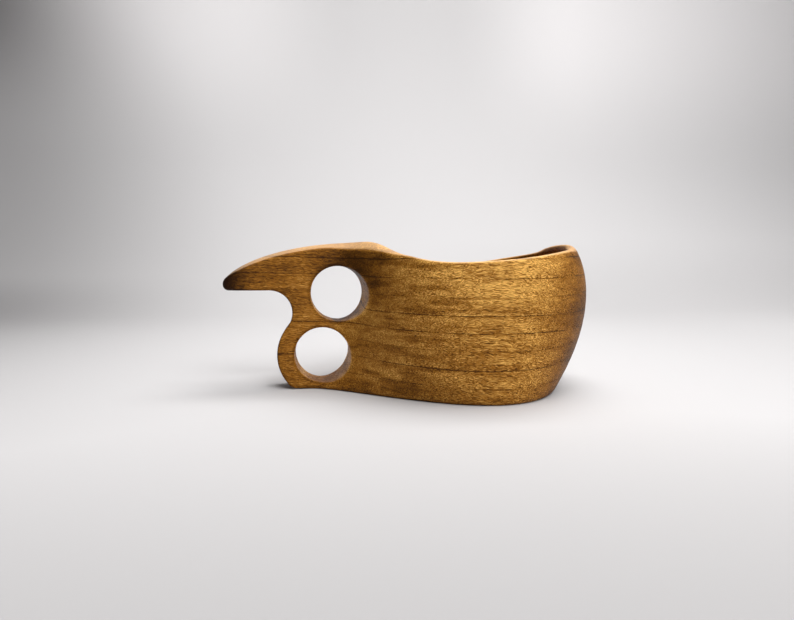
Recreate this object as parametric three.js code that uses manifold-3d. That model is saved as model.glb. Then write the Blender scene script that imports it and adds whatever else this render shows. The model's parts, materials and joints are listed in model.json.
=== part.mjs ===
// A kuksa: a drinking cup carved from a single block of wood. A round bowl with a saddle-shaped
// rim runs, without a joint, into a flat upright handle with a thumb rest, two finger holes and a
// notch for the outer finger. Millimetres, +Z up. The origin is on the surface that the cup
// stands on, under the middle of the bowl. The handle points along -X.
import * as THREE from "three";
import { mergeVertices } from "three/addons/utils/BufferGeometryUtils.js";
import Module from "manifold-3d";

const wasm = await Module();
wasm.setup();

// ---- driving dimensions ----

const HANDLE_THICK = 15.6; // the slab of the handle, across Y
const FINGER_HOLE_RADIUS = 12.5;
const LOWER_HOLE = { x: -69.6, z: 15.5 };
const UPPER_HOLE = { x: -62.2, z: 43.25 };
const RING_RADIUS = 20.2; // outside of the handle, round the lower finger hole
const NOTCH_RADIUS = 10; // hollow for the outer finger, between the ring and the thumb rest
const BEAK = { tip: -113.8, under: 44.8, nose: 2.8, noseTilt: 60, swell: 8.5, crown: 36 };
const TIP_TAPER = 13; // the thumb rest narrows to its tip over this length

// Each pull is how long the rim keeps its direction before or after a point.
const CREST = { x: -51, z: 66.5, pullOn: 11 }; // top of the handle, where it meets the bowl
const SADDLE = { x: -14, z: 56.8, pullBack: 27.5, pullOn: 23.7 }; // lowest point of the rim
const RISE = { x: 36, z: 62, slope: 0.17, pullBack: 17, pullOn: 9 }; // the rim on its way up
const LIP = { x: 45, z: 66.2, pullX: 3, pullZ: 2.2 }; // top of the rim, away from the handle
const LIP_ROUND = { x: 5.5, z: 9 }; // the lip falls away outwards over this reach

const BELLY_HEIGHT = 42; // height at which the bowl is widest
const BLANK_HEIGHT = 68; // the block before its side outline is cut
const TUCK_POWER = 1.9; // how the bowl draws in below its belly
const CLOSE_POWER = 2.3; // how it draws in above its belly
const END_REACH = { floor: 38, belly: 53.7, top: 45.2 }; // the bowl's outside along +X
const SIDE_REACH = { floor: 50.5, belly: 54, top: 50 }; // the bowl's outside along Y
const FOOT_CHAMFER = 1.2;

// The neck carries the bowl's side into the handle's slab. It reaches the slab at x = -slab, and
// the two pulls say how long it keeps the bowl's direction and the slab's direction.
const NECK_FLOOR = { slab: 76, bowlPull: 28, slabPull: 14 };
const NECK_BELLY = { slab: 64, bowlPull: 46, slabPull: 14 };

const WALL = 4.6;
const BOTTOM = 7.5; // thickness of wood under the hollow
const HOLLOW_BACK = 44; // reach of the hollow towards the handle, at the rim
const HOLLOW_FILLET = 22; // round corner between the hollow's wall and its bottom

const CURVE_STEPS = 14; // straight steps in a quarter of a plan outline
const OUTLINE_STEPS = 20; // and in each curve of the side outline
const TIP_STEPS = 6;
const BLOCK_LEVELS = 16;
const HOLLOW_LEVELS = 10;
const FILLET_LEVELS = 6;
const OVERCUT = 2; // how far a cutting solid passes the wood
const SAME_POINT = 1e-4; // points closer than this are one

const WALNUT = new THREE.MeshStandardMaterial({ color: 0xa9753a, roughness: 0.5, metalness: 0 });

// ---- the bowl's swell: how a reach changes from the floor to the belly to the top ----

const swell = ({ floor, belly, top }, z) =>
  z < BELLY_HEIGHT
    ? belly - (belly - floor) * (1 - z / BELLY_HEIGHT) ** TUCK_POWER
    : belly - (belly - top) * ((z - BELLY_HEIGHT) / (BLANK_HEIGHT - BELLY_HEIGHT)) ** CLOSE_POWER;

// One of the neck's reaches. It swells up to the belly and then stays.
const neckReach = (name, z) =>
  swell({ floor: NECK_FLOOR[name], belly: NECK_BELLY[name], top: NECK_BELLY[name] }, z);

// Evenly spaced heights, with both ends.
const heights = (start, end, count) =>
  Array.from({ length: count + 1 }, (_, i) => start + ((end - start) * i) / count);

// ---- solids ----

function solidOf(geometry) {
  const bare = geometry.index ? geometry.toNonIndexed() : geometry.clone();
  bare.deleteAttribute("normal");
  bare.deleteAttribute("uv");
  const merged = mergeVertices(bare, SAME_POINT);
  const vertProperties = merged.attributes.position.array;
  const triVerts = new Uint32Array(merged.index.array);
  return new wasm.Manifold(new wasm.Mesh({ numProp: 3, vertProperties, triVerts }));
}

function geometryOf(solid) {
  const mesh = solid.getMesh();
  const geometry = new THREE.BufferGeometry();
  geometry.setAttribute("position", new THREE.BufferAttribute(mesh.vertProperties, 3));
  geometry.setIndex(new THREE.BufferAttribute(mesh.triVerts, 1));
  geometry.computeVertexNormals();
  return geometry;
}

// A closed solid through plan outlines of equal length, one at each height, lowest first.
function loft(levels) {
  const count = levels[0].outline.length;
  const positions = levels.flatMap(({ z, outline }) => outline.flatMap((p) => [p.x, p.y, z]));
  const faces = [];
  for (let level = 0; level + 1 < levels.length; level++) {
    for (let i = 0; i < count; i++) {
      const next = (i + 1) % count;
      const [a, b] = [level * count + i, level * count + next];
      faces.push(a, b, b + count, a, b + count, a + count);
    }
  }
  const lid = (level, order) => {
    const triangles = THREE.ShapeUtils.triangulateShape(levels[level].outline, []);
    triangles.forEach((t) => faces.push(...order.map((corner) => level * count + t[corner])));
  };
  lid(0, [0, 2, 1]);
  lid(levels.length - 1, [0, 1, 2]);
  const geometry = new THREE.BufferGeometry();
  geometry.setAttribute("position", new THREE.Float32BufferAttribute(positions, 3));
  geometry.setIndex(faces);
  return geometry;
}

// Both sides of an outline whose +Y half runs from its +X end to its -X end.
const bothSides = (half) => [
  ...half,
  ...half
    .slice()
    .reverse()
    .filter((p) => p.y > SAME_POINT)
    .map((p) => new THREE.Vector2(p.x, -p.y)),
];

// ---- the block, cut to its plan: bowl, neck and handle slab ----

function bodyOutline(z) {
  const chamfer = Math.max(0, FOOT_CHAMFER - z);
  const end = swell(END_REACH, z) - chamfer;
  const side = swell(SIDE_REACH, z) - chamfer;
  const half = HANDLE_THICK / 2 - chamfer;
  const slab = neckReach("slab", z);
  const bowl = new THREE.EllipseCurve(0, 0, end, side, 0, Math.PI / 2);
  const flank = new THREE.CubicBezierCurve(
    new THREE.Vector2(0, side),
    new THREE.Vector2(-neckReach("bowlPull", z), side),
    new THREE.Vector2(neckReach("slabPull", z) - slab, half),
    new THREE.Vector2(-slab, half),
  );
  const tipStart = BEAK.tip + TIP_TAPER;
  const tip = new THREE.EllipseCurve(tipStart, 0, TIP_TAPER, half, Math.PI / 2, Math.PI);
  return bothSides([
    ...bowl.getPoints(CURVE_STEPS),
    ...flank.getPoints(CURVE_STEPS).slice(1),
    ...tip.getPoints(TIP_STEPS),
  ]);
}

function block() {
  const levels = [0, ...heights(FOOT_CHAMFER, BLANK_HEIGHT, BLOCK_LEVELS)];
  return solidOf(loft(levels.map((z) => ({ z, outline: bodyOutline(z) }))));
}

// ---- the side outline, seen along +Y: foot, ring, notch, thumb rest, crest, saddle and lip ----

function sideOutline() {
  const ringBottom = LOWER_HOLE.z - RING_RADIUS;
  const notchZ = BEAK.under - NOTCH_RADIUS;
  const reach = RING_RADIUS + NOTCH_RADIUS;
  const notchX = LOWER_HOLE.x - Math.sqrt(reach ** 2 - (notchZ - LOWER_HOLE.z) ** 2);
  const join = Math.atan2(notchZ - LOWER_HOLE.z, notchX - LOWER_HOLE.x);
  const tilt = THREE.MathUtils.degToRad(BEAK.noseTilt);
  const nose = { x: BEAK.tip + BEAK.nose, z: BEAK.under + BEAK.nose };
  const brow = { x: nose.x - BEAK.nose * Math.sin(tilt), z: nose.z + BEAK.nose * Math.cos(tilt) };
  const right = END_REACH.belly + OVERCUT;

  const shape = new THREE.Shape();
  shape.moveTo(right, ringBottom);
  shape.lineTo(LOWER_HOLE.x, ringBottom);
  shape.absarc(LOWER_HOLE.x, LOWER_HOLE.z, RING_RADIUS, -Math.PI / 2, join, true);
  shape.absarc(notchX, notchZ, NOTCH_RADIUS, join - Math.PI, Math.PI / 2, false);
  shape.lineTo(nose.x, BEAK.under);
  shape.absarc(nose.x, nose.z, BEAK.nose, -Math.PI / 2, Math.PI / 2 + tilt, true);
  shape.bezierCurveTo(
    brow.x + BEAK.swell * Math.cos(tilt), brow.z + BEAK.swell * Math.sin(tilt),
    CREST.x - BEAK.crown, CREST.z,
    CREST.x, CREST.z,
  );
  shape.bezierCurveTo(
    CREST.x + CREST.pullOn, CREST.z,
    SADDLE.x - SADDLE.pullBack, SADDLE.z,
    SADDLE.x, SADDLE.z,
  );
  shape.bezierCurveTo(
    SADDLE.x + SADDLE.pullOn, SADDLE.z,
    RISE.x - RISE.pullBack, RISE.z - RISE.slope * RISE.pullBack,
    RISE.x, RISE.z,
  );
  shape.bezierCurveTo(
    RISE.x + RISE.pullOn, RISE.z + RISE.slope * RISE.pullOn,
    LIP.x - LIP.pullX, LIP.z - LIP.pullZ,
    LIP.x, LIP.z,
  );
  shape.quadraticCurveTo(LIP.x + LIP_ROUND.x, LIP.z, LIP.x + LIP_ROUND.x, LIP.z - LIP_ROUND.z);
  shape.lineTo(right, LIP.z - LIP_ROUND.z);
  shape.closePath();

  for (const hole of [LOWER_HOLE, UPPER_HOLE]) {
    const round = new THREE.Path();
    round.absarc(hole.x, hole.z, FINGER_HOLE_RADIUS, 0, 2 * Math.PI, false);
    shape.holes.push(round);
  }
  return shape;
}

function sideCut() {
  const halfWidth = SIDE_REACH.belly + OVERCUT;
  const settings = { depth: 2 * halfWidth, bevelEnabled: false, curveSegments: OUTLINE_STEPS };
  const geometry = new THREE.ExtrudeGeometry(sideOutline(), settings);
  geometry.rotateX(Math.PI / 2);
  geometry.translate(0, halfWidth, 0);
  return solidOf(geometry);
}

// ---- the hollow of the bowl ----

function hollowOutline(z, inset) {
  const end = swell(END_REACH, z) - WALL - inset;
  const side = swell(SIDE_REACH, z) - WALL - inset;
  const front = new THREE.EllipseCurve(0, 0, end, side, 0, Math.PI / 2);
  const back = new THREE.EllipseCurve(0, 0, HOLLOW_BACK - inset, side, Math.PI / 2, Math.PI);
  return bothSides([...front.getPoints(CURVE_STEPS), ...back.getPoints(CURVE_STEPS).slice(1)]);
}

function hollow() {
  const levels = heights(0, Math.PI / 2, FILLET_LEVELS).map((turn) => {
    const z = BOTTOM + HOLLOW_FILLET * (1 - Math.cos(turn));
    return { z, outline: hollowOutline(z, HOLLOW_FILLET * (1 - Math.sin(turn))) };
  });
  const wall = heights(BOTTOM + HOLLOW_FILLET, BLANK_HEIGHT + OVERCUT, HOLLOW_LEVELS).slice(1);
  levels.push(...wall.map((z) => ({ z, outline: hollowOutline(z, 0) })));
  return solidOf(loft(levels));
}

// ---- the cup ----

const cup = new THREE.Mesh(geometryOf(block().intersect(sideCut()).subtract(hollow())), WALNUT);
cup.name = "cup_body";

const kuksa = new THREE.Group();
kuksa.name = "kuksa";
kuksa.add(cup);

export default kuksa;
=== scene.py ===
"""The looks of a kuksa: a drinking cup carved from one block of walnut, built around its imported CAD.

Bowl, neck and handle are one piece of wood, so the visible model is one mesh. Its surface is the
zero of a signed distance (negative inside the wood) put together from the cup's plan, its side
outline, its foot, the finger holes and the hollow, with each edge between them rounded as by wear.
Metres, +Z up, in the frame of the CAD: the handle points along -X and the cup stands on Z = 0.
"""

import json
import math

import bpy
import numpy as np

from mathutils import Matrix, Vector


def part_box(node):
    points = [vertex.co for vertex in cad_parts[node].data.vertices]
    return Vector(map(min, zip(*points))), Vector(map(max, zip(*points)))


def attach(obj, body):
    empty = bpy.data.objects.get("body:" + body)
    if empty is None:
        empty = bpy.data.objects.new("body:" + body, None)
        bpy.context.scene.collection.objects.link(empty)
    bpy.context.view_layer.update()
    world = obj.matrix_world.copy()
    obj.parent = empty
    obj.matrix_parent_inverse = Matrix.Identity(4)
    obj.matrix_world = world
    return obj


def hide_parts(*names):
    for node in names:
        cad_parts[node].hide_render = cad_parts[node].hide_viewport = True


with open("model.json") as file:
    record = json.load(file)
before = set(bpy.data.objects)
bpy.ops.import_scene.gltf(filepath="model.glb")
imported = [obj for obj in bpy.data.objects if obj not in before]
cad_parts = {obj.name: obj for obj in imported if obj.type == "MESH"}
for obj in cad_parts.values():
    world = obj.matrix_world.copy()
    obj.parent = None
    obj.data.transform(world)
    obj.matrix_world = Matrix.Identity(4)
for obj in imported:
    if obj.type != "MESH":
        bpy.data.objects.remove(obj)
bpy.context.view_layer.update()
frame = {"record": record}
MM = 0.001

# ---- places and sizes from the frame ----

LOW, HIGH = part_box("cup_body")
OPENINGS = {opening["name"]: opening["box_m"] for opening in frame["record"]["physics"]["openings"]}


def opening_centre(name):
    """The (x, z) centre of one of the record's openings."""
    low, high = OPENINGS[name]
    return (low[0] + high[0]) / 2, (low[2] + high[2]) / 2


LOWER_HOLE = opening_centre("finger_hole_lower")
UPPER_HOLE = opening_centre("finger_hole_upper")
TIP_X = LOW.x  # the end of the thumb rest
BOWL_END = HIGH.x
BOWL_SIDE = HIGH.y
TOP_Z = HIGH.z

# ---- the cup's other dimensions ----

HANDLE_THICK = 15.6 * MM
HOLE_RADIUS = 12.5 * MM
RING_RADIUS = 20.2 * MM  # outside of the handle, round the lower finger hole
NOTCH_RADIUS = 10 * MM  # hollow for the outer finger, under the thumb rest
BEAK_UNDER = 44.8 * MM  # height of the thumb rest's underside
BEAK_NOSE = 2.8 * MM  # radius of its tip, in the side view
BEAK_TILT = math.radians(60)  # how steeply its top leaves the tip
BEAK_SWELL = 8.5 * MM  # how long the top keeps that direction
BEAK_CROWN = 36 * MM  # and how long it runs level before the crest

CREST = (-51 * MM, TOP_Z)  # top of the handle, where it meets the bowl
SADDLE = (-14 * MM, 56.8 * MM)  # lowest point of the rim
RISE = (36 * MM, 62 * MM)  # the rim on its way from the saddle to the lip
RISE_SLOPE = 0.17
LIP = (45 * MM, TOP_Z - 0.3 * MM)  # top of the rim, away from the handle
LIP_CORNER = (LIP[0] + 5.5 * MM, LIP[1])  # the lip falls away outwards round this corner
LIP_END = (LIP_CORNER[0], LIP[1] - 9 * MM)
OUTLINE_OVERCUT = 6 * MM  # how far the side outline passes the end of the bowl

# Each pull is how long the rim keeps its direction before or after a point.
CREST_PULL_ON = 11 * MM
SADDLE_PULL_BACK = 27.5 * MM
SADDLE_PULL_ON = 23.7 * MM
RISE_PULL_BACK = 17 * MM
RISE_PULL_ON = 9 * MM
LIP_PULL_BACK = (3 * MM, 2.2 * MM)

BELLY_HEIGHT = 42 * MM
BLANK_HEIGHT = 68 * MM  # the block before its side outline is cut
TUCK_POWER = 1.9  # how the bowl draws in below its belly
CLOSE_POWER = 2.3  # how it draws in above its belly
END_REACH = (38 * MM, BOWL_END, 45.2 * MM)  # the bowl along +X, at the floor, the belly and the top
SIDE_REACH = (50.5 * MM, BOWL_SIDE, 50 * MM)  # the same, across Y
NECK_SLAB = (76 * MM, 64 * MM, 64 * MM)  # how far along -X the neck has thinned to the handle
BOWL_PULL = (28 * MM, 46 * MM, 46 * MM)  # how long the neck keeps the direction of the bowl
SLAB_PULL = 14 * MM  # and the direction of the handle

WALL = 4.6 * MM
BOTTOM = 7.5 * MM
HOLLOW_BACK = 44 * MM  # reach of the hollow towards the handle
HOLLOW_FILLET = 22 * MM  # round corner between its wall and its bottom

TIP_TAPER = 13 * MM  # the thumb rest narrows to its tip over this length
RIM_TILT = 0.017  # the rim is carved a little higher on the side towards -Y
TILT_SPAN = (-30 * MM, 15 * MM)  # along X, where the tilt sets in
REST_CROWN = 1.7 * MM  # how far the top falls to its edges along the thumb rest
NECK_CROWN = 4.2 * MM  # and where the handle spreads into the rim
CROWN_REACH = 9 * MM  # the fall happens within this distance of the outside
CROWN_POWER = 1.35  # and gets steeper towards it
CROWN_FLOOR = (46 * MM, 54 * MM)  # heights over which the crown fades in
REST_TO_NECK = (-70 * MM, -48 * MM)  # along X, where one crown turns into the other
NECK_TO_RIM = (-48 * MM, -33 * MM)  # and where the crown ends

HANDLE_EDGE = 0.9 * MM  # radii of the edges, rounded as by wear
RIM_EDGE = 0.8 * MM
LIP_EDGE = 2.2 * MM
HANDLE_TO_RIM = (-56 * MM, -44 * MM)  # along X, where one radius turns into the next
RIM_TO_LIP = (30 * MM, 46 * MM)
INNER_EDGE = 1.4 * MM
FOOT_EDGE = 1.9 * MM
HOLE_EDGE = 0.7 * MM

# ---- curves in the side view ----

QUARTER_TURN = math.pi / 2
RING_POINTS = 48
NOTCH_POINTS = 32
NOSE_POINTS = 24
REST_POINTS = 48
RIM_POINTS = 40
LIP_POINTS = 24
LIP_ROUND_POINTS = 16
FLANK_POINTS = 200


def curve(points, count):
    """Points along the Bezier curve with these control points."""
    t = np.linspace(0, 1, count)[:, None]
    points = [np.array(p, float) for p in points]
    while len(points) > 1:
        points = [a + (b - a) * t for a, b in zip(points, points[1:])]
    return points[0]


def arc(centre, radius, start, end, count):
    """Points along an arc, from one angle to another."""
    angles = np.linspace(start, end, count)
    return np.stack([centre[0] + radius * np.cos(angles), centre[1] + radius * np.sin(angles)], 1)


def ring_and_notch():
    """The handle's outside, from under the cup to the underside of the thumb rest."""
    reach = RING_RADIUS + NOTCH_RADIUS
    notch_z = BEAK_UNDER - NOTCH_RADIUS
    rise = notch_z - LOWER_HOLE[1]
    notch_x = LOWER_HOLE[0] - math.sqrt(reach**2 - rise**2)
    join = math.atan2(rise, notch_x - LOWER_HOLE[0])
    return [
        arc(LOWER_HOLE, RING_RADIUS, -QUARTER_TURN, join - 2 * math.pi, RING_POINTS),
        arc((notch_x, notch_z), NOTCH_RADIUS, join - math.pi, QUARTER_TURN, NOTCH_POINTS),
    ]


def thumb_rest():
    """The nose of the thumb rest and its top, up to the crest."""
    nose = (TIP_X + BEAK_NOSE, BEAK_UNDER + BEAK_NOSE)
    along = (math.cos(BEAK_TILT), math.sin(BEAK_TILT))
    brow = (nose[0] - BEAK_NOSE * along[1], nose[1] + BEAK_NOSE * along[0])
    brow_pull = (brow[0] + BEAK_SWELL * along[0], brow[1] + BEAK_SWELL * along[1])
    crest_pull = (CREST[0] - BEAK_CROWN, CREST[1])
    turned = QUARTER_TURN + BEAK_TILT - 2 * math.pi
    return [
        arc(nose, BEAK_NOSE, -QUARTER_TURN, turned, NOSE_POINTS),
        curve([brow, brow_pull, crest_pull, CREST], REST_POINTS)[1:],
    ]


def rim():
    """The top, from the crest down to the saddle and up to the lip."""
    crest_on = (CREST[0] + CREST_PULL_ON, CREST[1])
    saddle_back = (SADDLE[0] - SADDLE_PULL_BACK, SADDLE[1])
    saddle_on = (SADDLE[0] + SADDLE_PULL_ON, SADDLE[1])
    rise_back = (RISE[0] - RISE_PULL_BACK, RISE[1] - RISE_PULL_BACK * RISE_SLOPE)
    rise_on = (RISE[0] + RISE_PULL_ON, RISE[1] + RISE_PULL_ON * RISE_SLOPE)
    lip_back = (LIP[0] - LIP_PULL_BACK[0], LIP[1] - LIP_PULL_BACK[1])
    return [
        curve([CREST, crest_on, saddle_back, SADDLE], RIM_POINTS)[1:],
        curve([SADDLE, saddle_on, rise_back, RISE], RIM_POINTS)[1:],
        curve([RISE, rise_on, lip_back, LIP], LIP_POINTS)[1:],
        curve([LIP, LIP_CORNER, LIP_END], LIP_ROUND_POINTS)[1:],
    ]


def side_outline():
    """The cup seen along +Y, in (x, z): foot, ring, notch, thumb rest, crest, saddle and lip."""
    right = BOWL_END + OUTLINE_OVERCUT
    below = (right, LOWER_HOLE[1] - RING_RADIUS)
    return np.concatenate([
        [below],
        *ring_and_notch(),
        *thumb_rest(),
        *rim(),
        [(right, LIP_END[1])],
    ])


def outline_distance(outline, x, z):
    """Signed distance in the side view from points to a closed outline, negative inside it."""
    nearest = np.full(x.shape, np.inf)
    inside = np.zeros(x.shape, bool)
    for (ax, az), (bx, bz) in zip(outline, np.roll(outline, -1, axis=0)):
        dx, dz = bx - ax, bz - az
        share = np.clip(((x - ax) * dx + (z - az) * dz) / (dx * dx + dz * dz), 0, 1)
        nearest = np.minimum(nearest, (x - ax - share * dx) ** 2 + (z - az - share * dz) ** 2)
        if dz:
            inside ^= ((az > z) != (bz > z)) & (x < ax + (z - az) * dx / dz)
    return np.where(inside, -1, 1) * np.sqrt(nearest)


# ---- values sampled over the side view ----

SAMPLE = 0.25 * MM
MARGIN = 4 * MM  # how far the samples go past the cup
LAST_CELL = 1.001  # keeps a look-up just inside the last sample
SWELL_STEP = 0.1 * MM
SIDE_X = np.arange(LOW.x - MARGIN, HIGH.x + MARGIN, SAMPLE)
SIDE_Z = np.arange(LOW.z - MARGIN, HIGH.z + MARGIN, SAMPLE)


def look_up(table, x, z):
    """A sampled value at any (x, z), linear between its samples."""
    column = np.clip((x - SIDE_X[0]) / SAMPLE, 0, len(SIDE_X) - LAST_CELL)
    row = np.clip((z - SIDE_Z[0]) / SAMPLE, 0, len(SIDE_Z) - LAST_CELL)
    i, j = column.astype(int), row.astype(int)
    u, v = column - i, row - j
    near = table[i, j] * (1 - v) + table[i, j + 1] * v
    far = table[i + 1, j] * (1 - v) + table[i + 1, j + 1] * v
    return near * (1 - u) + far * u


def swell(reach, z):
    """A reach at height z, from its values at the floor, the belly and the top of the block."""
    floor, belly, top = reach
    z = np.clip(z, 0, BLANK_HEIGHT)
    below = np.clip(1 - z / BELLY_HEIGHT, 0, 1)
    above = np.clip((z - BELLY_HEIGHT) / (BLANK_HEIGHT - BELLY_HEIGHT), 0, 1)
    tuck = (belly - floor) * below**TUCK_POWER
    return belly - tuck - (belly - top) * above**CLOSE_POWER


def swell_slope(reach, z):
    """How fast swell() changes with height."""
    rise = swell(reach, z + SWELL_STEP) - swell(reach, z - SWELL_STEP)
    return rise / (2 * SWELL_STEP)


def half_width_table():
    """Half of the cup's width across Y, for the neck and the handle, at each (x, z) sample."""
    half = HANDLE_THICK / 2
    table = np.empty((len(SIDE_X), len(SIDE_Z)))
    for j, z in enumerate(SIDE_Z):
        side = swell(SIDE_REACH, z)
        slab = swell(NECK_SLAB, z)
        pull = swell(BOWL_PULL, z)
        ends = [(0, side), (-pull, side), (SLAB_PULL - slab, half), (-slab, half)]
        flank = curve(ends, FLANK_POINTS)
        table[:, j] = np.interp(SIDE_X, flank[::-1, 0], flank[::-1, 1])
    return table


HALF_WIDTH = half_width_table()
# The length of the gradient of |y| - HALF_WIDTH, by which that is divided to give a distance.
HALF_WIDTH_SLOPE = np.hypot(1, np.hypot(*np.gradient(HALF_WIDTH, SAMPLE)))
SIDE_DISTANCE = outline_distance(side_outline(), *np.meshgrid(SIDE_X, SIDE_Z, indexing="ij"))

# ---- signed distances to the wood, negative inside ----

LEAST_SLOPE = 1e-3  # keeps the divisions safe in the middle of an oval


def ellipse_distance(x, y, z, end, side):
    """Distance to an upright oval wall whose two reaches change with height."""
    a, b = swell(end, z), swell(side, z)
    ratio = np.hypot(x / a, y / b)
    flare = x**2 * swell_slope(end, z) / a**3 + y**2 * swell_slope(side, z) / b**3
    slope = np.sqrt((x / a**2) ** 2 + (y / b**2) ** 2 + flare**2)
    return (ratio - 1) * ratio / np.maximum(slope, LEAST_SLOPE)


def tip_distance(x, y):
    """Distance to the end of the thumb rest, which is half an oval in the plan."""
    reach = TIP_TAPER + HANDLE_EDGE
    half = HANDLE_THICK / 2
    back = x - TIP_X - TIP_TAPER
    ratio = np.hypot(back / reach, y / half)
    slope = np.hypot(back / reach**2, y / half**2)
    return (ratio - 1) * ratio / np.maximum(slope, LEAST_SLOPE)


def body_distance(x, y, z):
    """Distance to the outside of the block as it is cut to its plan."""
    bowl = ellipse_distance(x, y, z, END_REACH, SIDE_REACH)
    neck = (np.abs(y) - look_up(HALF_WIDTH, x, z)) / look_up(HALF_WIDTH_SLOPE, x, z)
    handle = np.where(x < TIP_X + TIP_TAPER, tip_distance(x, y), neck)
    return np.where(x > 0, bowl, handle)


def hollow_distance(x, y, z):
    """Distance to the hollow, negative where it is open."""
    side = [reach - WALL for reach in SIDE_REACH]
    front = ellipse_distance(x, y, z, [reach - WALL for reach in END_REACH], side)
    back = ellipse_distance(x, y, z, [HOLLOW_BACK] * 3, side)
    return meet(np.where(x > 0, front, back), BOTTOM - z, HOLLOW_FILLET)


def meet(a, b, radius):
    """Distance to what is inside both a and b, with the edge between them rounded."""
    outside = np.hypot(np.maximum(a + radius, 0), np.maximum(b + radius, 0))
    return np.minimum(-radius, np.maximum(a, b)) + outside


def smooth_step(low, high, value):
    """0 at low and past it, 1 at high and past it, smooth between them."""
    t = np.clip((value - low) / (high - low), 0, 1)
    return t * t * (3 - 2 * t)


def edge_radius(x):
    """Radius of the outer edge, rounded as by wear, from the handle to the rim to the lip."""
    to_rim = smooth_step(*HANDLE_TO_RIM, x)
    to_lip = smooth_step(*RIM_TO_LIP, x)
    return HANDLE_EDGE + (RIM_EDGE - HANDLE_EDGE) * to_rim + (LIP_EDGE - RIM_EDGE) * to_lip


def top_fall(x, y, z):
    """How far the top lies below its outline: crowned at the neck, tilted along the rim."""
    to_neck = smooth_step(*REST_TO_NECK, x)
    to_rim = smooth_step(*NECK_TO_RIM, x)
    crown = (REST_CROWN + (NECK_CROWN - REST_CROWN) * to_neck) * (1 - to_rim)
    half = look_up(HALF_WIDTH, x, z)
    across = 1 - np.clip((half - np.abs(y)) / np.minimum(half, CROWN_REACH), 0, 1)
    tilt = RIM_TILT * smooth_step(*TILT_SPAN, x)
    return (crown * across**CROWN_POWER + tilt * y) * smooth_step(*CROWN_FLOOR, z)


def wood_distance(points):
    """Distance to the finished cup."""
    x, y, z = np.moveaxis(points, -1, 0)
    side = look_up(SIDE_DISTANCE, x, z + top_fall(x, y, z))
    wood = meet(body_distance(x, y, z), side, edge_radius(x))
    wood = meet(wood, -z, FOOT_EDGE)
    for hole in (LOWER_HOLE, UPPER_HOLE):
        wood = meet(wood, HOLE_RADIUS - np.hypot(x - hole[0], z - hole[1]), HOLE_EDGE)
    return meet(wood, -hollow_distance(x, y, z), INNER_EDGE)


# ---- the surface as a mesh ----

CELL = 0.9 * MM
GRID_MARGIN = 2.3 * CELL
SLOPE_STEP = 0.12 * MM
LEAST_STEEP = 0.25  # smallest squared slope that a move is divided by
SETTLE_ROUNDS = 2
RELAX_ROUNDS = 3
RELAX_SHARE = 0.5  # how far a point goes towards the middle of its neighbours


def grid_axes():
    """Grid lines past the cup on every side, none of them on the mirror plane or the floor."""
    return [np.arange(LOW[k] - GRID_MARGIN, HIGH[k] + GRID_MARGIN, CELL) for k in range(3)]


def crossings(values, axis):
    """The grid edges along one axis that cross the surface, and where each of them does."""
    low = np.moveaxis(values, axis, 0)[:-1]
    high = np.moveaxis(values, axis, 0)[1:]
    at = np.argwhere(np.moveaxis((low < 0) != (high < 0), 0, axis))
    after = at.copy()
    after[:, axis] += 1
    start, end = values[tuple(at.T)], values[tuple(after.T)]
    points = at.astype(float)
    points[:, axis] += start / (start - end)
    return at, points


def cells_round(at, axis):
    """The four grid cells that share each edge, in order round it."""
    first, second = (axis + 1) % 3, (axis + 2) % 3
    ring = []
    for back_a, back_b in ((1, 1), (0, 1), (0, 0), (1, 0)):
        cell = at.copy()
        cell[:, first] -= back_a
        cell[:, second] -= back_b
        ring.append(tuple(cell.T))
    return ring


def surface_net(values, axes):
    """Points and quads of the surface where sampled values are zero, one point to a cell."""
    cells = tuple(n - 1 for n in values.shape)
    total = np.zeros(cells + (3,))
    count = np.zeros(cells)
    rings = []
    for axis in range(3):
        at, crossed = crossings(values, axis)
        ring = cells_round(at, axis)
        rings.append((ring, values[tuple(at.T)] < 0))
        for cell in ring:
            np.add.at(total, cell, crossed)
            np.add.at(count, cell, 1)
    used = count > 0
    index = np.full(cells, -1)
    index[used] = np.arange(used.sum())
    mean = total[used] / count[used][:, None]
    points = np.stack([axes[k][0] + mean[:, k] * CELL for k in range(3)], 1)
    quads = []
    for ring, starts_inside in rings:
        quad = np.stack([index[cell] for cell in ring], 1)
        quads.append(np.where(starts_inside[:, None], quad, quad[:, ::-1]))
    return points, np.concatenate(quads)


def gradient(points):
    """How fast the distance changes along X, Y and Z."""
    rows = []
    for k in range(3):
        shift = np.zeros(3)
        shift[k] = SLOPE_STEP
        rows.append(wood_distance(points + shift) - wood_distance(points - shift))
    return np.stack(rows, 1) / (2 * SLOPE_STEP)


def settle(points):
    """Moves points onto the surface."""
    for _ in range(SETTLE_ROUNDS):
        slope = gradient(points)
        steep = np.maximum((slope**2).sum(1), LEAST_STEEP)
        points = points - (wood_distance(points) / steep)[:, None] * slope
    return points


def relax(points, quads):
    """Evens out the spacing of the points, along the surface."""
    edges = np.concatenate([quads[:, [k, (k + 1) % 4]] for k in range(4)])
    start, end = edges.T
    count = np.bincount(start, minlength=len(points))[:, None]
    for _ in range(RELAX_ROUNDS):
        sums = [np.bincount(start, points[end, k], len(points)) for k in range(3)]
        middle = np.stack(sums, 1) / count
        points = settle(points + RELAX_SHARE * (middle - points))
    return points


def cup_mesh():
    """The whole cup as one smooth mesh."""
    axes = grid_axes()
    values = wood_distance(np.stack(np.meshgrid(*axes, indexing="ij"), -1))
    points, quads = surface_net(values, axes)
    points = relax(settle(points), quads)
    mesh = bpy.data.meshes.new("cup")
    mesh.from_pydata(points.tolist(), [], quads.tolist())
    mesh.polygons.foreach_set("use_smooth", [True] * len(mesh.polygons))
    mesh.validate()
    mesh.update()
    return mesh


# ---- node graphs ----

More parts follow.
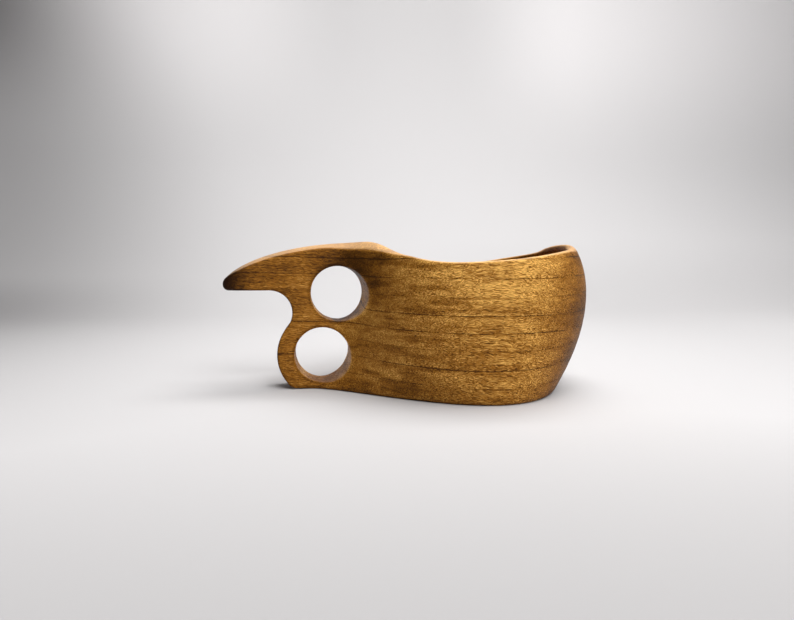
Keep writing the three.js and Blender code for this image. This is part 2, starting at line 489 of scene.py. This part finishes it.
MIDDLE = (0.5, 0.5, 0.5)  # the mean of a noise colour
FALLING = (1.0, 0.0)  # the ends of a ramp that goes down
WANDER_DETAIL = 1.0
WANDER_ROUGHNESS = 0.5
MIX_INPUTS = (0, 6, 7)  # a Mix node's factor and its two colours
MIX_OUTPUT = 2  # and the colour it makes


class Graph:
    """A node tree, built one node at a time from sockets and plain values."""

    def __init__(self, tree):
        self.tree = tree

    def connect(self, value, socket):
        """Links a socket, or sets a plain value."""
        if isinstance(value, bpy.types.NodeSocket):
            self.tree.links.new(value, socket)
        else:
            socket.default_value = value

    def add(self, kind, inputs, **settings):
        """A new node with these inputs, by name or by number."""
        made = self.tree.nodes.new(kind)
        for name, value in settings.items():
            setattr(made, name, value)
        for name, value in inputs.items():
            self.connect(value, made.inputs[name])
        return made

    def math(self, operation, *values):
        """One operation on numbers."""
        return self.add("ShaderNodeMath", dict(enumerate(values)), operation=operation).outputs[0]

    def product(self, first, *rest):
        """All the factors, multiplied."""
        for factor in rest:
            first = self.math("MULTIPLY", first, factor)
        return first

    def swing(self, mask, amount):
        """A factor that goes from 1 to 1 + amount as the mask goes from 0 to 1."""
        return self.math("MULTIPLY_ADD", mask, amount, 1.0)

    def vector(self, operation, *values):
        """One operation on vectors."""
        made = self.add("ShaderNodeVectorMath", dict(enumerate(values)), operation=operation)
        return made.outputs[0]

    def length(self, vector):
        """The length of a vector."""
        return self.add("ShaderNodeVectorMath", {0: vector}, operation="LENGTH").outputs["Value"]

    def split(self, vector):
        """The X, Y and Z of a vector."""
        return self.add("ShaderNodeSeparateXYZ", {"Vector": vector}).outputs

    def ramp(self, value, span, ends=(0.0, 1.0)):
        """Smooth change from the first end to the second as the value goes through the span."""
        inputs = {
            "Value": value,
            "From Min": span[0],
            "From Max": span[1],
            "To Min": ends[0],
            "To Max": ends[1],
        }
        return self.add("ShaderNodeMapRange", inputs, interpolation_type="SMOOTHSTEP").outputs[0]

    def noise_node(self, place, size, detail, roughness):
        """A noise texture whose features have the given sizes along X, Y and Z."""
        inputs = {
            "Vector": self.vector("DIVIDE", place, size),
            "Scale": 1.0,
            "Detail": detail,
            "Roughness": roughness,
        }
        return self.add("ShaderNodeTexNoise", inputs)

    def noise(self, place, size, detail, roughness):
        """The noise as a number from 0 to 1."""
        return self.noise_node(place, size, detail, roughness).outputs["Fac"]

    def wander(self, place, size, reach):
        """An offset across the fibres that changes over distances of the given size."""
        colour = self.noise_node(place, size, WANDER_DETAIL, WANDER_ROUGHNESS).outputs["Color"]
        return self.vector("MULTIPLY", self.vector("SUBTRACT", colour, MIDDLE), (0, reach, reach))

    def mix(self, share, first, second):
        """A colour between two others."""
        made = self.add("ShaderNodeMix", {}, data_type="RGBA")
        share_in, first_in, second_in = (made.inputs[k] for k in MIX_INPUTS)
        self.connect(share, share_in)
        self.connect(first, first_in)
        self.connect(second, second_in)
        return made.outputs[MIX_OUTPUT]


# ---- the wood: its grain, along X, Y and Z ----

DRIFT_SIZE = (110 * MM, 45 * MM, 45 * MM)  # the grain wanders slowly
DRIFT_REACH = 6 * MM
CURL_SIZE = (4.5 * MM, 4.5 * MM, 3.5 * MM)  # and its fibres a little, close together
CURL_REACH = 1.6 * MM
SKEW = (1.0, 5.1, 7.3)  # how far a step along X, Y or Z moves a place along the fibres

# Each layer is noise. As it runs through its span, its factor goes from one tone to the other.
FIGURE = {
    "size": (35 * MM, 20 * MM, 10 * MM), "detail": 3.0, "roughness": 0.55,
    "span": (0.3, 0.7), "tones": (0.80, 1.18),
}
STREAKS = {
    "size": (50 * MM, 3.5 * MM, 2 * MM), "detail": 3.0, "roughness": 0.55,
    "span": (0.32, 0.68), "tones": (0.82, 1.14),
}
SHIMMER = {
    "size": (3.5 * MM, 20 * MM, 12 * MM), "detail": 2.0, "roughness": 0.5,
    "span": (0.3, 0.7), "tones": (0.94, 1.06),
}
FIBRES = {
    "size": (12 * MM, 0.6 * MM, 0.6 * MM), "detail": 4.0, "roughness": 0.62,
    "span": (0.34, 0.66), "tones": (1.12, 0.74),
}
SPECKS = {
    "size": (1.7 * MM, 0.3 * MM, 0.3 * MM), "detail": 2.0, "roughness": 0.6,
    "span": (0.29, 0.71), "tones": (-0.88, 0.48),
}
SMOKE_STREAKS = {
    "size": (24 * MM, 20 * MM, 3.6 * MM), "detail": 3.0, "roughness": 0.5,
    "span": (0.46, 0.66), "tones": (0.0, 1.0),
}
BROKEN_LINES = {
    "size": (18 * MM, 50 * MM, 4 * MM), "detail": 3.0, "roughness": 0.5,
    "span": (0.32, 0.54), "tones": (0.0, 1.0),
}
WAVES = {"size": (16 * MM, 16 * MM, 16 * MM), "detail": 1.0, "roughness": 0.5}

# Vessels fill a share of the cells of their size, out to a width from the cell's middle.
LARGE_PORES = {"size": (4 * MM, 0.62 * MM, 0.62 * MM), "share": 0.45, "width": 0.62}
SMALL_PORES = {"size": (1.7 * MM, 0.44 * MM, 0.44 * MM), "share": 0.60, "width": 0.60}
PORE_CORE = 0.55  # the part of a vessel's width that is fully open
PORE_AGE = (0.0, 0.75)  # large vessels fade as the ring ages
LATE_PORES = 0.35
SMALL_PORE_DEPTH = 0.8

RING_GAP = 7.5 * MM  # growth rings lie flat, one above the other
RING_START = 8 * MM
PITH_DEPTH = 0.9  # how far below the cup the rings have their centre
LATE_POWER = 7.0  # the wood darkens late in each ring
LINE_AGE = (0.935, 0.975)  # and ends in a thin line
RING_TONES = (0.92, 1.06)
STRONG_RINGS = (0.15, 0.70)  # the rings' own numbers, from faint lines to strong ones
FAINT_LINE = 0.40

# ---- the wood: where along the cup it changes, with painted light and shade, and by how much ----

NECK_SHADE_CENTRE = (-57 * MM, 0, 55 * MM)  # painted shade: a darker patch where the handle meets the bowl
NECK_SHADE_SIZE = (20 * MM, 60 * MM, 17 * MM)
NECK_SHADE_SPAN = (0.25, 1.2)  # of its size
SIDE_FACING = (0.12, 0.42)  # the painted shade is only on the sides, by how far they face up

SAPWOOD_AND_HIGHLIGHT_RISE = (36 * MM, 50 * MM)  # a light band under the rim, partly lighter wood and partly a painted highlight
SAPWOOD_AND_HIGHLIGHT_START = (-40 * MM, -10 * MM)  # along X, where it sets in
SAPWOOD_AND_HIGHLIGHT_FADE = (14 * MM, 36 * MM)  # and where it weakens towards the lip
SAPWOOD_AND_HIGHLIGHT_AT_LIP = 0.45
SMOKE_START = (-75 * MM, -55 * MM)  # dark streaks, strongest on the neck, between these two
SMOKE_FADE = (-30 * MM, 10 * MM)
SMOKE_ON_HANDLE = 0.25
SMOKE_ON_BOWL = 0.30

TIP_SPAN = (TIP_X, TIP_X + 18 * MM)
FINGER_RING_SPAN = (-96 * MM, -74 * MM)
HANDLE_SPAN = (-64 * MM, -22 * MM)
LIP_SPAN = (10 * MM, 38 * MM)
FOOT_SPAN = (0, 10 * MM)  # this one is along Z; painted shade low on the bowl, where it curves under
LIVELY_SPAN = (-65 * MM, -20 * MM)
TIP_TONE = 0.06  # how light the wood is at the dark end of each of these spans
FINGER_RING_TONE = 0.76
HANDLE_TONE = 0.635
# painted shade on the bowl's far end, which turns away from the light
LIP_SHADE = 0.58
FOOT_SHADE = 0.82
LIVELY_HANDLE = 0.80  # how strong the fine texture is on the handle

LIT_TOP_RISE = (45 * MM, 55 * MM)  # painted light: the top edges are pale where the light from above falls on them
LIT_TOP_FACING = (0.45, 0.80)  # where they face up
LIT_TOP_SHARE = 0.34  # how much of the painted light's pale colour they have
HOLE_SPAN = (HOLE_RADIUS + 0.3 * MM, HOLE_RADIUS + 1.9 * MM)  # away from a finger hole's centre
FLAT_FACING = (0.35, 0.7)  # the handle's flat sides, by how far they face along Y
END_FACING = (0.25, 0.95)  # end grain, by how far it faces along X
END_GRAIN_HANDLE = (-86 * MM, -78 * MM)  # end grain shows at the tip and on the bowl
END_GRAIN_BOWL = (-30 * MM, 0)

BASE_LIGHT = 1.19
SAPWOOD_AND_HIGHLIGHT = 0.66  # how much lighter each of these three makes the wood; the last two are painted light, the first partly a painted highlight
LIT_TOP = 0.30
HOLE_WALL_LIGHT = 0.95
SMOKE = -0.46  # and how much darker each of the rest
NECK_SHADE = -0.75
HOLE_RIM_SHADE = -0.42
END_GRAIN = -0.46
LATE_WOOD = -0.32
RING_LINE = -0.80
OPEN_WOOD = -0.62

PORE_BROWN = (0.022, 0.008, 0.003, 1)
WALNUT_BROWN = (0.31, 0.118, 0.012, 1)
SAPWOOD_GOLD = (0.88, 0.49, 0.120, 1)
LIT_TOP_PALE = (0.80, 0.54, 0.32, 1)
DARK_LIGHT = (0.0, 0.55)  # from pore brown to walnut brown
GOLD_LIGHT = (0.35, 1.75)  # and on to gold

SMOOTH_WOOD = 0.34  # roughness, and what raised fibres and open vessels add to it
FIBRE_ROUGHNESS = 0.14
PORE_ROUGHNESS = 0.25
FIBRE_RELIEF = 0.06 * MM
PORE_RELIEF = -0.10 * MM
WAVE_RELIEF = 0.5 * MM
RELIEF_STRENGTH = 0.7

# ---- the wood: its layers ----


def layer_noise(g, place, layer):
    """The noise of one layer, from 0 to 1."""
    return g.noise(place, layer["size"], layer["detail"], layer["roughness"])


def layer_factor(g, place, layer):
    """The factor that one layer's noise gives."""
    return g.ramp(layer_noise(g, place, layer), layer["span"], layer["tones"])


def skewed(g, place):
    """The same place with X shifted by Y and Z, so long cells of noise don't end side by side."""
    axes = g.split(place)
    shifted = g.add("ShaderNodeVectorMath", {0: place, 1: SKEW}, operation="DOT_PRODUCT")
    parts = {"X": shifted.outputs["Value"], "Y": axes["Y"], "Z": axes["Z"]}
    return g.add("ShaderNodeCombineXYZ", parts).outputs[0]


class Wood:
    """What the layers share: where a point is, which way it faces, and the run of the grain."""

    def __init__(self, g):
        coordinates = g.add("ShaderNodeTexCoord", {})
        self.place = coordinates.outputs["Object"]
        self.x, _, self.z = g.split(self.place)
        facing_x, facing_y, self.facing_up = g.split(coordinates.outputs["Normal"])
        self.facing_end = g.math("ABSOLUTE", facing_x)
        self.facing_side = g.math("ABSOLUTE", facing_y)
        self.grain = g.vector("ADD", self.place, g.wander(self.place, DRIFT_SIZE, DRIFT_REACH))
        curl = g.wander(self.place, CURL_SIZE, CURL_REACH)
        self.fibres = skewed(g, g.vector("ADD", self.grain, curl))
        self.fibre = layer_noise(g, self.fibres, FIBRES)
        self.lively = g.ramp(self.x, LIVELY_SPAN, (LIVELY_HANDLE, 1.0))
        self.age, self.tone = growth(g, self.grain)
        self.open = open_wood(g, self.fibres, self.age)
        # Painted light on the tops, where they face up.
        self.lit_top = g.product(g.ramp(self.facing_up, LIT_TOP_FACING), g.ramp(self.z, LIT_TOP_RISE))


def growth(g, grain):
    """Age within the growth ring, from 0 to 1, and a number that is the same all over one ring."""
    axes = g.split(grain)
    bend = g.math("DIVIDE", g.math("POWER", axes["Y"], 2.0), 2 * PITH_DEPTH)
    height = g.math("ADD", axes["Z"], bend)
    ring = g.math("DIVIDE", g.math("SUBTRACT", height, RING_START), RING_GAP)
    which = g.add("ShaderNodeTexWhiteNoise", {"W": g.math("FLOOR", ring)}, noise_dimensions="1D")
    return g.math("FRACT", ring), which.outputs["Value"]


def pores(g, place, kind):
    """Short open vessels of one kind along the grain, as a mask from 0 to 1."""
    at = g.vector("DIVIDE", place, kind["size"])
    cell = g.add("ShaderNodeTexVoronoi", {"Vector": at, "Scale": 1.0, "Randomness": 1.0})
    chance = g.add("ShaderNodeSeparateColor", {"Color": cell.outputs["Color"]}).outputs[0]
    near = g.ramp(cell.outputs["Distance"], (kind["width"] * PORE_CORE, kind["width"]), FALLING)
    return g.math("MULTIPLY", near, g.math("LESS_THAN", chance, kind["share"]))


def open_wood(g, fibres, age):
    """Large vessels, mostly early in each ring, and small ones everywhere."""
    early = g.ramp(age, PORE_AGE, (1.0, LATE_PORES))
    large = g.math("MULTIPLY", pores(g, fibres, LARGE_PORES), early)
    small = g.math("MULTIPLY", pores(g, fibres, SMALL_PORES), SMALL_PORE_DEPTH)
    return g.math("MAXIMUM", large, small)


def ring_factors(g, wood):
    """Each ring has its own tone, darkens late, and ends in a line that comes and goes."""
    shows = g.product(
        layer_factor(g, wood.place, BROKEN_LINES),
        g.ramp(wood.tone, STRONG_RINGS, (FAINT_LINE, 1.0)),
    )
    late = g.math("MULTIPLY", g.math("POWER", wood.age, LATE_POWER), shows)
    line = g.math("MULTIPLY", g.ramp(wood.age, LINE_AGE), shows)
    return [
        g.ramp(wood.tone, (0.0, 1.0), RING_TONES),
        g.swing(late, LATE_WOOD),
        g.swing(line, RING_LINE),
    ]


def texture_factors(g, wood):
    """Figure, streaks, shimmer, fibres, specks and vessels."""
    return [
        layer_factor(g, wood.grain, FIGURE),
        layer_factor(g, skewed(g, wood.grain), STREAKS),
        layer_factor(g, wood.place, SHIMMER),
        g.ramp(wood.fibre, FIBRES["span"], FIBRES["tones"]),
        g.swing(layer_factor(g, wood.fibres, SPECKS), wood.lively),
        g.swing(g.math("MULTIPLY", wood.open, wood.lively), OPEN_WOOD),
    ]


def area_factors(g, wood):
    """The broad light and dark areas of the cup, among them painted shade and a painted highlight."""
    # Partly a lighter band in the wood, partly a painted highlight on the upper bowl.
    sapwood_and_highlight = g.product(
        g.ramp(g.split(wood.grain)["Z"], SAPWOOD_AND_HIGHLIGHT_RISE),
        g.ramp(wood.x, SAPWOOD_AND_HIGHLIGHT_START),
        g.ramp(wood.x, SAPWOOD_AND_HIGHLIGHT_FADE, (1.0, SAPWOOD_AND_HIGHLIGHT_AT_LIP)),
    )
    smoke = g.product(
        layer_factor(g, wood.grain, SMOKE_STREAKS),
        g.ramp(wood.x, SMOKE_START, (SMOKE_ON_HANDLE, 1.0)),
        g.ramp(wood.x, SMOKE_FADE, (1.0, SMOKE_ON_BOWL)),
    )
    # Painted shade on the side of the neck, where it turns away from the light.
    from_neck_shade = g.vector("DIVIDE", g.vector("SUBTRACT", wood.grain, NECK_SHADE_CENTRE), NECK_SHADE_SIZE)
    on_side = g.ramp(wood.facing_up, SIDE_FACING, FALLING)
    neck_shade = g.math("MULTIPLY", g.ramp(g.length(from_neck_shade), NECK_SHADE_SPAN, FALLING), on_side)
    return [
        g.ramp(wood.x, TIP_SPAN, (TIP_TONE, 1.0)),
        g.ramp(wood.x, FINGER_RING_SPAN, (FINGER_RING_TONE, 1.0)),
        g.ramp(wood.x, HANDLE_SPAN, (HANDLE_TONE, 1.0)),
        g.ramp(wood.x, LIP_SPAN, (1.0, LIP_SHADE)),
        g.ramp(wood.z, FOOT_SPAN, (FOOT_SHADE, 1.0)),
        g.swing(sapwood_and_highlight, SAPWOOD_AND_HIGHLIGHT),
        g.swing(smoke, SMOKE),
        g.swing(neck_shade, NECK_SHADE),
    ]


def near_hole(g, wood, hole):
    """A mask round one finger hole."""
    flat = g.vector("MULTIPLY", wood.place, (1, 0, 1))
    away = g.length(g.vector("SUBTRACT", flat, (hole[0], 0, hole[1])))
    return g.ramp(away, HOLE_SPAN, FALLING)


def edge_factors(g, wood):
    """Painted light on the top edges, painted shade round the finger holes' rims, painted light on
    their walls, and dark end grain.
    """
    by_hole = g.math("MAXIMUM", near_hole(g, wood, LOWER_HOLE), near_hole(g, wood, UPPER_HOLE))
    end_on = g.ramp(wood.facing_end, END_FACING)
    # Painted shade on the flat sides round each hole's rim; painted light on the holes' walls.
    hole_rim_shade = g.math("MULTIPLY", by_hole, g.ramp(wood.facing_side, FLAT_FACING))
    at_ends = g.math(
        "MAXIMUM",
        g.ramp(wood.x, END_GRAIN_HANDLE, FALLING),
        g.ramp(wood.x, END_GRAIN_BOWL),
    )
    return [
        g.swing(wood.lit_top, LIT_TOP),
        g.swing(hole_rim_shade, HOLE_RIM_SHADE),
        g.swing(g.math("MULTIPLY", by_hole, end_on), HOLE_WALL_LIGHT),
        g.swing(g.math("MULTIPLY", end_on, at_ends), END_GRAIN),
    ]


def wood_colour(g, wood):
    """One factor for each thing that makes the wood lighter or darker, and the colour they give."""
    light = g.product(
        BASE_LIGHT,
        *texture_factors(g, wood),
        *ring_factors(g, wood),
        *area_factors(g, wood),
        *edge_factors(g, wood),
    )
    dark = g.mix(g.ramp(light, DARK_LIGHT), PORE_BROWN, WALNUT_BROWN)
    colour = g.mix(g.ramp(light, GOLD_LIGHT), dark, SAPWOOD_GOLD)
    # The painted light on the tops mixes the colour towards pale.
    return g.mix(g.math("MULTIPLY", wood.lit_top, LIT_TOP_SHARE), colour, LIT_TOP_PALE)


def wood_relief(g, wood):
    """Raised fibres, open vessels and a faint waviness from sanding by hand."""
    relief = g.math("MULTIPLY", wood.fibre, FIBRE_RELIEF)
    relief = g.math("MULTIPLY_ADD", wood.open, PORE_RELIEF, relief)
    relief = g.math("MULTIPLY_ADD", layer_noise(g, wood.place, WAVES), WAVE_RELIEF, relief)
    bump = {"Height": relief, "Strength": RELIEF_STRENGTH, "Distance": 1.0}
    return g.add("ShaderNodeBump", bump).outputs["Normal"]


def walnut():
    """Oiled walnut with its fibres along X, rougher on raised fibres and in open vessels."""
    material = bpy.data.materials.new("oiled_walnut")
    material.use_nodes = True
    g = Graph(material.node_tree)
    wood = Wood(g)
    rough = g.math("MULTIPLY_ADD", wood.fibre, FIBRE_ROUGHNESS, SMOOTH_WOOD)
    rough = g.math("MULTIPLY_ADD", wood.open, PORE_ROUGHNESS, rough)
    surface = material.node_tree.nodes["Principled BSDF"].inputs
    g.connect(wood_colour(g, wood), surface["Base Color"])
    g.connect(rough, surface["Roughness"])
    g.connect(wood_relief(g, wood), surface["Normal"])
    surface["IOR"].default_value = 1.45
    surface["Specular IOR Level"].default_value = 0.08
    return material


# ---- the cup and the camera ----

scene = bpy.context.scene
cup = bpy.data.objects.new("cup", cup_mesh())
scene.collection.objects.link(cup)
cup.data.materials.append(walnut())

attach(cup, "root")
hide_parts("cup_body")

camera = bpy.data.objects.new("camera", bpy.data.cameras.new("camera"))
camera.location = (-0.070, -0.2617, 0.0544)
camera.rotation_euler = (math.radians(85.8), 0, math.radians(-7.74))
camera.data.sensor_width = 36
camera.data.lens = 25.39
camera.data.clip_start = 0.01
scene.collection.objects.link(camera)
scene.camera = camera
scene.view_settings.view_transform = "Standard"

# ---- the backdrop ----

WALL_Y = 0.95  # where the wall stands, behind the cup
WALL_BEND = 0.6  # radius of the sweep from the floor into the wall
WALL_TOP = 1.7
BEND_POINTS = 24
BACKDROP_REACH = 20.0  # how far the backdrop goes to the left, the right and the front

PAPER = (0.52, 0.508, 0.508, 1)
PAPER_LIT = (0.71, 0.69, 0.69, 1)
PAPER_SHADE = (0.085, 0.08, 0.08, 1)

LIT_RISE = (0.25, 0.62)  # painted light: the wall is lightest high up, on both sides of the cup
LIT_MIDDLE = 0.1
LIT_BESIDE = (0.1, 0.4)
LEFT_LEAN = 0.45  # the shade on the left slants as it goes up
LEFT_SPAN = (-0.53, -0.09)
LEFT_LOW = (0.0, 0.05)
LEFT_LOW_SHADES = (0.68, 0.44)
LEFT_HIGH = (0.28, 0.66)
LEFT_HIGH_SHADES = (0.44, 1.0)
FRONT_SPAN = (-0.25, -0.04)
FRONT_SHADES = (0.44, 0.0)
RIGHT_SPAN = (0.0, 0.30)
RIGHT_SHADES = (0.0, 0.17)
RIGHT_RISE = (0.0, 0.12)


def paper_shade(g, axes):
    """A mask of the backdrop's darker parts: the left, the floor in front and the floor's right."""
    leaning = g.math("MULTIPLY_ADD", axes["Z"], LEFT_LEAN, axes["X"])
    depth = g.math(
        "MAXIMUM",
        g.ramp(axes["Z"], LEFT_HIGH, LEFT_HIGH_SHADES),
        g.ramp(axes["Z"], LEFT_LOW, LEFT_LOW_SHADES),
    )
    left = g.math("MULTIPLY", g.ramp(leaning, LEFT_SPAN, FALLING), depth)
    front = g.ramp(axes["Y"], FRONT_SPAN, FRONT_SHADES)
    low = g.ramp(axes["Z"], RIGHT_RISE, FALLING)
    right = g.math("MULTIPLY", g.ramp(axes["X"], RIGHT_SPAN, RIGHT_SHADES), low)
    return g.math("MAXIMUM", g.math("MAXIMUM", left, front), right)


def paper():
    """Pale matt paper, with painted light high up and painted shade towards its edges."""
    made = bpy.data.materials.new("paper")
    made.use_nodes = True
    g = Graph(made.node_tree)
    axes = g.split(g.add("ShaderNodeTexCoord", {}).outputs["Object"])
    beside = g.math("ABSOLUTE", g.math("SUBTRACT", axes["X"], LIT_MIDDLE))
    painted_light = g.math("MULTIPLY", g.ramp(axes["Z"], LIT_RISE), g.ramp(beside, LIT_BESIDE))
    colour = g.mix(paper_shade(g, axes), g.mix(painted_light, PAPER, PAPER_LIT), PAPER_SHADE)
    surface = made.node_tree.nodes["Principled BSDF"].inputs
    g.connect(colour, surface["Base Color"])
    surface["Roughness"].default_value = 0.8
    surface["Specular IOR Level"].default_value = 0.1
    return made


def backdrop():
    """A floor that sweeps up into a wall behind the cup."""
    foot = WALL_Y - WALL_BEND
    turns = np.linspace(0, QUARTER_TURN, BEND_POINTS)
    bend = [(foot + WALL_BEND * math.sin(t), WALL_BEND - WALL_BEND * math.cos(t)) for t in turns]
    profile = [(-BACKDROP_REACH, 0.0), *bend, (WALL_Y, WALL_TOP)]
    corners = [(x, y, z) for y, z in profile for x in (-BACKDROP_REACH, BACKDROP_REACH)]
    faces = [(i, i + 1, i + 3, i + 2) for i in range(0, len(corners) - 2, 2)]
    mesh = bpy.data.meshes.new("backdrop")
    mesh.from_pydata(corners, [], faces)
    mesh.polygons.foreach_set("use_smooth", [True] * len(faces))
    mesh.materials.append(paper())
    made = bpy.data.objects.new("backdrop", mesh)
    scene.collection.objects.link(made)


# ---- the light ----

DIM_SIDE = 0.12
BRIGHT_SIDE = 0.46
SIDE_SPAN = (-0.75, 0.45)
SKY = (0.97, 0.98, 1.0, 1)


def soft_box(name, place, target, size, watts):
    """A rectangular lamp at a place, turned to a target."""
    lamp = bpy.data.lights.new(name, "AREA")
    lamp.shape = "RECTANGLE"
    lamp.size, lamp.size_y = size
    lamp.energy = watts
    made = bpy.data.objects.new(name, lamp)
    made.location = place
    towards = Vector(target) - Vector(place)
    made.rotation_euler = towards.to_track_quat("-Z", "Y").to_euler()
    scene.collection.objects.link(made)


def studio_world():
    """Soft light from all round, dim on the left and bright on the right."""
    made = bpy.data.worlds.new("studio")
    made.use_nodes = True
    g = Graph(made.node_tree)
    across = g.split(g.add("ShaderNodeTexCoord", {}).outputs["Generated"])["X"]
    background = made.node_tree.nodes["Background"].inputs
    background["Color"].default_value = SKY
    g.connect(g.ramp(across, SIDE_SPAN, (DIM_SIDE, BRIGHT_SIDE)), background["Strength"])
    return made


backdrop()
scene.world = studio_world()
soft_box(
    "overhead",
    place=(0.20, 0.02, 0.9), target=(0, 0, 0), size=(0.7, 0.7), watts=9.4,
)
soft_box(
    "right_front",
    place=(0.24, -0.70, 0.75), target=(0, 0, 0.04), size=(0.5, 0.5), watts=6.4,
)
soft_box(
    "wall_wash",
    place=(0.30, 0.35, 1.0), target=(0.30, 0.95, 0.36), size=(1.3, 0.4), watts=5.4,
)
